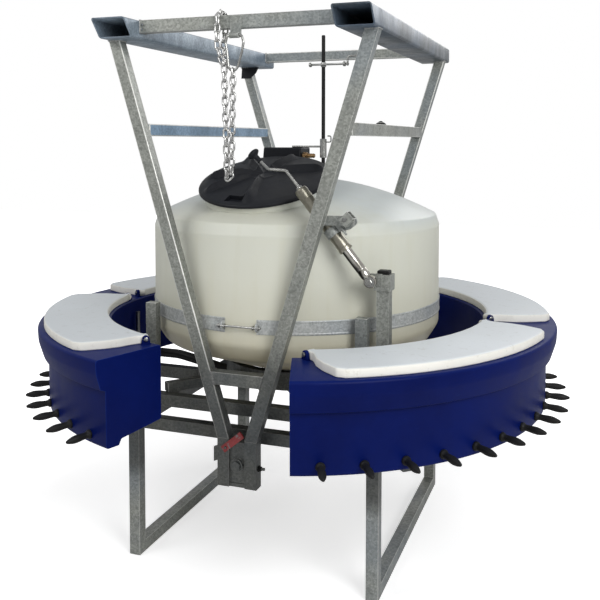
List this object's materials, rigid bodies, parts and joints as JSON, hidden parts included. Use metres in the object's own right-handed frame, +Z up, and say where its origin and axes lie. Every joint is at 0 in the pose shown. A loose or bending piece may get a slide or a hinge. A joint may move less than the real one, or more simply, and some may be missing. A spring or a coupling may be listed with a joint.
{
  "type": "multi-teat milk feeder",
  "caption": "Round milk tank in a steel stand with two half-ring teat troughs, lidded, and a levelling lift frame with fork sleeves, screw jack and chain.",
  "frame": {"origin": "on the ground below the tank's vertical axis, the centre of the trough ring", "axes": "+Z up; +Y along the fork sleeves away from the tank's filling lid; +X to the right seen from the front"},
  "size_m": [2.4304, 2.2254, 2.2903],
  "materials": {
    "galv": "hot-dip galvanised",
    "zinc": "bright zinc plated",
    "tank_plastic": "rotomoulded, satin",
    "blue_plastic": "rotomoulded, satin",
    "white_plastic": "rotomoulded, satin",
    "black_plastic": "moulded",
    "rubber": "matte",
    "brass": "machined, dull",
    "red_paint": "faded paint"
  },
  "bodies": {
    "base": {"side_frame_left": "galv", "side_frame_right": "galv", "front_rail": "galv", "rear_rail": "galv", "cradle_front": "galv", "cradle_rear": "galv", "cradle_arm_front_right": "galv", "cradle_arm_rear_right": "galv", "cradle_arm_rear_left": "galv", "cradle_arm_front_left": "galv", "cradle_ring": "galv", "jack_post": "galv", "post_bung": "rubber", "band_left": "galv", "band_right": "galv", "band_rod_front": "zinc", "band_rod_rear": "zinc", "tank": "tank_plastic", "trough_left": "blue_plastic", "trough_right": "blue_plastic", "outlet_valve": "black_plastic", "hose_left": "rubber", "hose_right": "rubber", "inlet_box": "black_plastic", "inlet_fitting": "brass", "rod_guide": "zinc", "pivot_pin_front": "zinc", "pivot_pin_rear": "zinc"},
    "lift_frame": {"fork_sleeve_left": "galv", "fork_sleeve_right": "galv", "crossbar_front": "galv", "crossbar_rear": "galv", "tie_front": "galv", "tie_rear": "galv", "foot_front": "galv", "foot_rear": "galv", "v_leg_front_left": "galv", "v_leg_front_right": "galv", "v_leg_rear_left": "galv", "v_leg_rear_right": "galv", "rung_left": "galv", "rung_right": "galv", "chain": "zinc", "chain_hook": "zinc"},
    "jack_body": {"jack_tube": "zinc", "jack_clamp": "galv"},
    "jack_ram": {"jack_ram": "zinc", "ram_eye": "zinc"},
    "crank": {"crank": "zinc"},
    "crank_knob": {"crank_knob": "rubber"},
    "tank_lid": {"tank_lid": "black_plastic"},
    "plunger": {"plunger_rod": "black_plastic", "plunger_bar": "zinc"},
    "tap_left": {"tap_lever_left": "zinc"},
    "tap_right": {"tap_lever_right": "zinc"},
    "latch": {"latch_lever": "red_paint"},
    "trough_lid_front_right": {"trough_lid_front_right": "white_plastic"},
    "trough_lid_rear_right": {"trough_lid_rear_right": "white_plastic"},
    "trough_lid_rear_left": {"trough_lid_rear_left": "white_plastic"},
    "trough_lid_front_left": {"trough_lid_front_left": "white_plastic"}
  },
  "joints": [
    {"name": "frame_tilt", "type": "hinge", "parent": "base", "child": "lift_frame", "pos_m": [0, 0, 0.5], "axis": [0, 1, 0], "range_deg": [-3, 3]},
    {"name": "jack_swing", "type": "hinge", "parent": "lift_frame", "child": "jack_body", "pos_m": [0.43803, -0.612, 1.47218], "axis": [0, 1, 0], "range_deg": [-3.6, 3.6]},
    {"name": "jack_ram_slide", "type": "slide", "parent": "jack_body", "child": "jack_ram", "axis": [0.6342, 0, -0.7732], "range_m": [-0.042, 0.042]},
    {"name": "crank_turn", "type": "hinge", "parent": "jack_body", "child": "crank", "pos_m": [0.23424, -0.612, 1.59376], "axis": [-0.6342, 0, 0.7732], "continuous": true},
    {"name": "crank_knob_turn", "type": "hinge", "parent": "crank", "child": "crank_knob", "pos_m": [0.06991, -0.612, 1.69887], "axis": [-0.7295, 0, 0.6839], "continuous": true},
    {"name": "lid_front_right", "type": "hinge", "parent": "base", "child": "trough_lid_front_right", "pos_m": [0.60766, -0.43344, 1.005], "axis": [-0.5807, -0.8141, 0], "range_deg": [0, 52]},
    {"name": "lid_rear_right", "type": "hinge", "parent": "base", "child": "trough_lid_rear_right", "pos_m": [0.60766, 0.43344, 1.005], "axis": [0.5807, -0.8141, 0], "range_deg": [0, 85]},
    {"name": "lid_rear_left", "type": "hinge", "parent": "base", "child": "trough_lid_rear_left", "pos_m": [-0.60766, 0.43344, 1.005], "axis": [0.5807, 0.8141, 0], "range_deg": [0, 85]},
    {"name": "lid_front_left", "type": "hinge", "parent": "base", "child": "trough_lid_front_left", "pos_m": [-0.60766, -0.43344, 1.005], "axis": [-0.5807, 0.8141, 0], "range_deg": [0, 85]},
    {"name": "tank_lid_lift", "type": "slide", "parent": "base", "child": "tank_lid", "axis": [0, -0.3338, 0.9426], "range_m": [0, 0.08]},
    {"name": "plunger_stroke", "type": "slide", "parent": "base", "child": "plunger", "axis": [0, 0, 1], "range_m": [-0.32, 0.05]},
    {"name": "tap_left", "type": "hinge", "parent": "base", "child": "tap_left", "pos_m": [-0.812, -0.0275, 0.722], "axis": [0, 1, 0], "range_deg": [0, 75]},
    {"name": "tap_right", "type": "hinge", "parent": "base", "child": "tap_right", "pos_m": [0.812, -0.0275, 0.722], "axis": [0, -1, 0], "range_deg": [0, 75]},
    {"name": "latch_swing", "type": "hinge", "parent": "lift_frame", "child": "latch", "pos_m": [-0.044, -0.702, 0.57], "axis": [0, 1, 0], "range_deg": [-50, 40]}
  ],
  "couplings": [
    {"joint": "jack_swing", "follows": "frame_tilt", "ratio": 1.125},
    {"joint": "jack_ram_slide", "follows": "frame_tilt", "m_per_rad": -0.78}
  ]
}
